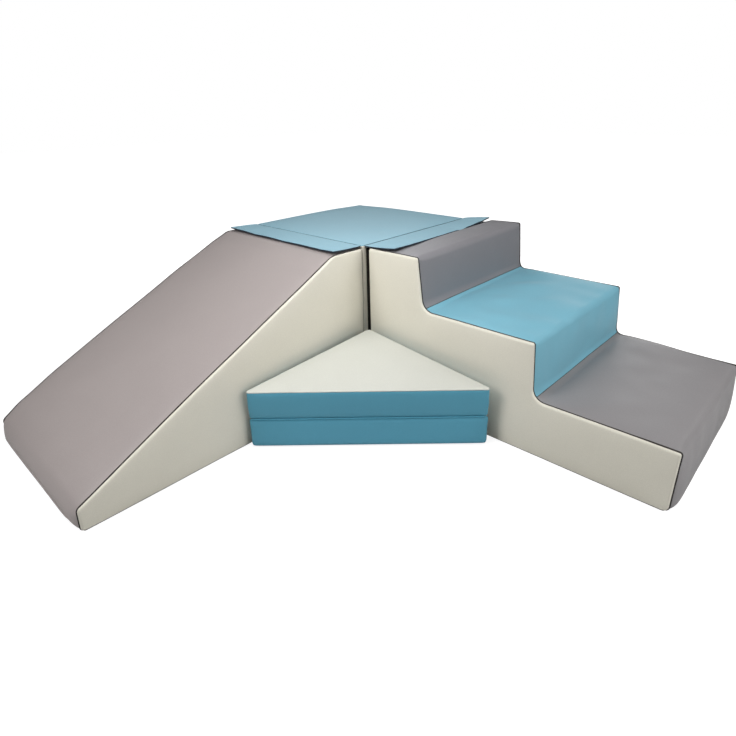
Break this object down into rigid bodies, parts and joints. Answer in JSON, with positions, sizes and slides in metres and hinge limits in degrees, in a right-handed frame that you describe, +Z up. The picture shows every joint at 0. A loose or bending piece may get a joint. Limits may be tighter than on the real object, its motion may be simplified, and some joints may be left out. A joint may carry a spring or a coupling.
{
  "type": "soft play foam climber",
  "caption": "Soft play corner climber: a square foam block with a padded ramp on one side, steps on the other, and a folding triangular mat in the nook between them.",
  "frame": {"origin": "middle of the corner block's underside, on the floor", "axes": "+Z up; the steps run down along +X from the corner block and the ramp runs down along -Y, so the nook with the folding mat opens towards +X and -Y"},
  "size_m": [1.488, 1.465, 0.4671],
  "materials": {
    "cream_vinyl": "satin",
    "light_blue_vinyl": "satin",
    "step_blue_vinyl": "satin",
    "mat_blue_vinyl": "satin",
    "taupe_vinyl": "satin",
    "grey_vinyl": "satin",
    "foam": "matte",
    "base_cloth": "matte",
    "tape_cloth": "matte",
    "zip_cloth": "matte",
    "slider_metal": "satin"
  },
  "bodies": {
    "block": {"block_base_panel": "base_cloth", "block_side_band": "cream_vinyl", "block_top_panel": "light_blue_vinyl", "block_foam_core": "foam", "block_zip_tape": "zip_cloth"},
    "block_slider": {"block_zip_slider": "slider_metal"},
    "ramp_flap": {"ramp_flap": "light_blue_vinyl", "ramp_flap_hook_tape": "tape_cloth"},
    "stairs_flap": {"stairs_flap": "light_blue_vinyl", "stairs_flap_hook_tape": "tape_cloth"},
    "ramp": {"ramp_base_panel": "base_cloth", "ramp_slope_panel": "taupe_vinyl", "ramp_back_panel": "cream_vinyl", "ramp_inner_side_panel": "cream_vinyl", "ramp_outer_side_panel": "cream_vinyl", "ramp_foam_core": "foam", "ramp_loop_tape": "tape_cloth", "ramp_zip_tape": "zip_cloth"},
    "ramp_slider": {"ramp_zip_slider": "slider_metal"},
    "stairs": {"stairs_base_panel": "base_cloth", "stairs_bottom_step_panel": "grey_vinyl", "stairs_middle_step_panel": "step_blue_vinyl", "stairs_top_step_panel": "grey_vinyl", "stairs_back_panel": "cream_vinyl", "stairs_inner_side_panel": "cream_vinyl", "stairs_outer_side_panel": "cream_vinyl", "stairs_bottom_foam": "foam", "stairs_middle_foam": "foam", "stairs_top_foam": "foam", "stairs_loop_tape": "tape_cloth", "stairs_zip_tape": "zip_cloth"},
    "stairs_slider": {"stairs_zip_slider": "slider_metal"},
    "mat_lower": {"mat_lower_base_panel": "base_cloth", "mat_lower_side_band": "mat_blue_vinyl", "mat_lower_foam": "foam", "mat_lower_fold_panel": "cream_vinyl", "mat_lower_hinge_leaf": "mat_blue_vinyl", "mat_lower_zip_tape": "zip_cloth"},
    "mat_lower_slider": {"mat_lower_zip_slider": "slider_metal"},
    "mat_upper": {"mat_upper_fold_panel": "cream_vinyl", "mat_upper_side_band": "mat_blue_vinyl", "mat_upper_foam": "foam", "mat_upper_top_panel": "cream_vinyl", "mat_upper_hinge_leaf": "mat_blue_vinyl", "mat_upper_zip_tape": "zip_cloth"},
    "mat_upper_slider": {"mat_upper_zip_slider": "slider_metal"}
  },
  "joints": [
    {"name": "ramp_flap_lift", "type": "hinge", "parent": "block", "child": "ramp_flap", "pos_m": [0, -0.275, 0.4644], "axis": [-1, 0, 0], "range_deg": [0, 170]},
    {"name": "stairs_flap_lift", "type": "hinge", "parent": "block", "child": "stairs_flap", "pos_m": [0.275, 0, 0.4644], "axis": [0, -1, 0], "range_deg": [0, 90]},
    {"name": "ramp_pull", "type": "slide", "parent": "block", "child": "ramp", "axis": [0, -1, 0], "range_m": [0, 0.3]},
    {"name": "stairs_pull", "type": "slide", "parent": "block", "child": "stairs", "axis": [1, 0, 0], "range_m": [0, 0.3]},
    {"name": "mat_pull", "type": "slide", "parent": "block", "child": "mat_lower", "axis": [0.6756, -0.7373, 0], "range_m": [0, 0.4]},
    {"name": "mat_fold", "type": "hinge", "parent": "mat_lower", "child": "mat_upper", "pos_m": [0.53257, -0.53516, 0.08795], "axis": [0.7373, 0.6756, 0], "range_deg": [0, 173]},
    {"name": "block_zip_run", "type": "slide", "parent": "block", "child": "block_slider", "axis": [1, 0, 0], "range_m": [0, 0.404]},
    {"name": "ramp_zip_run", "type": "slide", "parent": "ramp", "child": "ramp_slider", "axis": [0, 1, 0], "range_m": [0, 0.494]},
    {"name": "stairs_zip_run", "type": "slide", "parent": "stairs", "child": "stairs_slider", "axis": [1, 0, 0], "range_m": [0, 0.614]},
    {"name": "mat_lower_zip_run", "type": "slide", "parent": "mat_lower", "child": "mat_lower_slider", "axis": [0.999, -0.0436, 0], "range_m": [0, 0.214]},
    {"name": "mat_upper_zip_run", "type": "slide", "parent": "mat_upper", "child": "mat_upper_slider", "axis": [0.9955, -0.0397, -0.0862], "range_m": [0, 0.214]}
  ]
}
